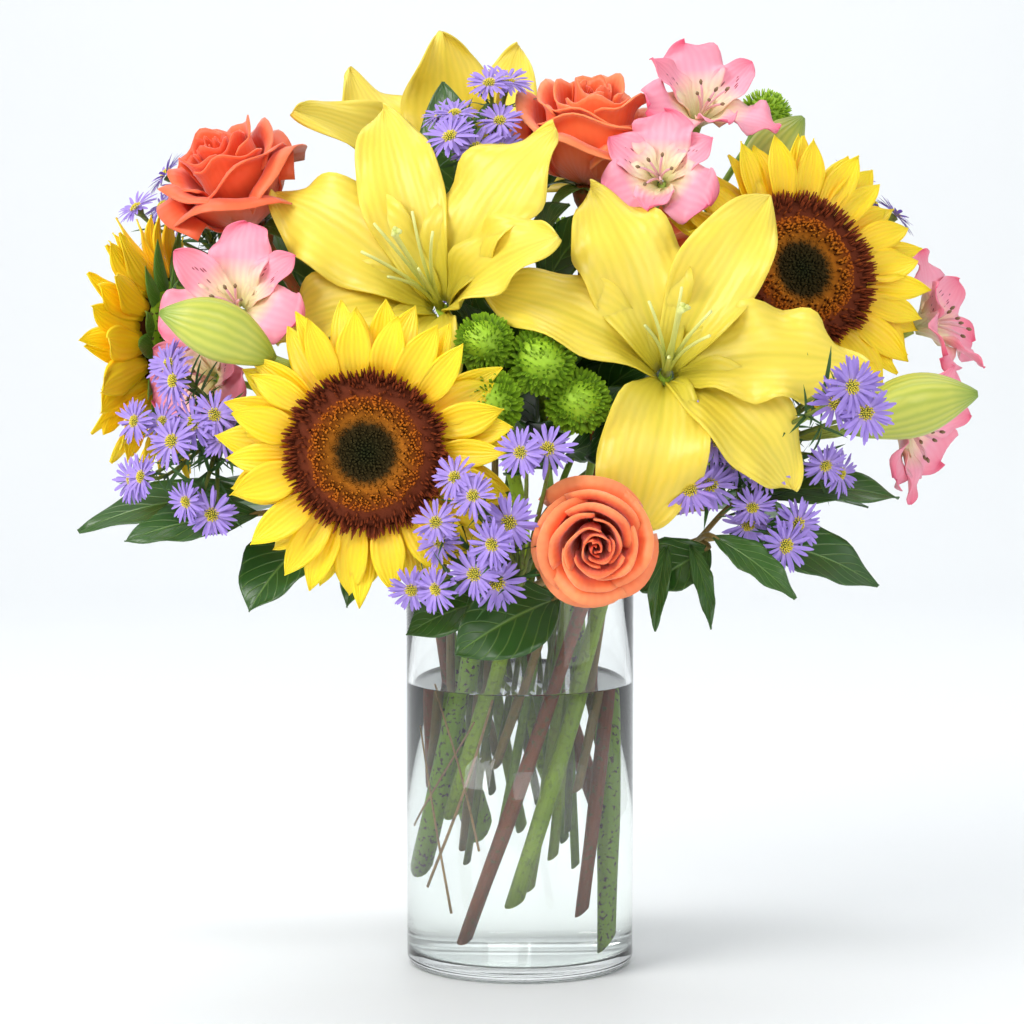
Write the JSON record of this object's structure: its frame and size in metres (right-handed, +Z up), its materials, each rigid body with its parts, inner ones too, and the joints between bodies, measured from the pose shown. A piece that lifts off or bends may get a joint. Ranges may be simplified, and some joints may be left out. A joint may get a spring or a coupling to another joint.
{
  "type": "sunflower bouquet in a glass vase",
  "caption": "Mixed bunch of sunflowers, lilies, roses, alstroemeria, asters and button pompons with leaves, standing in water in a straight clear glass vase.",
  "frame": {"origin": "middle of the vase's foot, on the surface that it stands on", "axes": "+Z up, -Y towards the front of the bunch, +X to the right as seen from the front"},
  "size_m": [0.4094, 0.3199, 0.4282],
  "materials": {
    "glass": "clear polished glass",
    "water": "clear still water",
    "ray_yellow": "soft satin sunflower petal",
    "disc_brown": "rough seed head",
    "lily_yellow": "waxy satin lily tepal",
    "stamen": "satin filament",
    "bud_green": "waxy closed bud",
    "rose_orange": "velvety rose petal",
    "alstroemeria_pink": "thin satin tepal",
    "aster_violet": "matt ray florets",
    "pompon_green": "matt quilled florets",
    "leaf_green": "leathery leaf",
    "stem_green": "fresh cut stem"
  },
  "bodies": {
    "root": {"vase": "glass", "water": "water", "sunflower_front_disc": "disc_brown", "sunflower_front_rays": "ray_yellow", "sunflower_front_stem": "stem_green", "sunflower_left_disc": "disc_brown", "sunflower_left_rays": "ray_yellow", "sunflower_left_stem": "stem_green", "sunflower_right_disc": "disc_brown", "sunflower_right_rays": "ray_yellow", "sunflower_right_stem": "stem_green", "lily_left_tepals": "lily_yellow", "lily_left_stamens": "stamen", "lily_left_stem": "stem_green", "lily_right_tepals": "lily_yellow", "lily_right_stamens": "stamen", "lily_right_stem": "stem_green", "lily_back_tepals": "lily_yellow", "lily_back_stamens": "stamen", "lily_back_stem": "stem_green", "lily_bud_left": "bud_green", "lily_bud_right": "bud_green", "lily_bud_top": "bud_green", "rose_left_bloom": "rose_orange", "rose_left_stem": "stem_green", "rose_top_bloom": "rose_orange", "rose_top_stem": "stem_green", "rose_front_bloom": "rose_orange", "rose_front_stem": "stem_green", "rose_back_bloom": "rose_orange", "rose_back_stem": "stem_green", "alstroemeria_left": "alstroemeria_pink", "alstroemeria_left_low": "alstroemeria_pink", "alstroemeria_top": "alstroemeria_pink", "alstroemeria_middle": "alstroemeria_pink", "alstroemeria_right": "alstroemeria_pink", "alstroemeria_right_low": "alstroemeria_pink", "alstroemeria_back": "alstroemeria_pink", "alstroemeria_stem_left": "stem_green", "alstroemeria_stem_top": "stem_green", "alstroemeria_stem_right": "stem_green", "alstroemeria_stem_back": "stem_green", "asters_left_low": "aster_violet", "asters_centre_low": "aster_violet", "asters_right_low": "aster_violet", "asters_top": "aster_violet", "asters_left_top": "aster_violet", "asters_right_top": "aster_violet", "asters_back_left": "aster_violet", "asters_back_right": "aster_violet", "pompons_front": "pompon_green", "pompon_top": "pompon_green", "pompons_back": "pompon_green", "foliage_left": "leaf_green", "foliage_front": "leaf_green", "foliage_right": "leaf_green", "foliage_top": "leaf_green", "foliage_back_left": "leaf_green", "foliage_back_right": "leaf_green"}
  },
  "joints": []
}
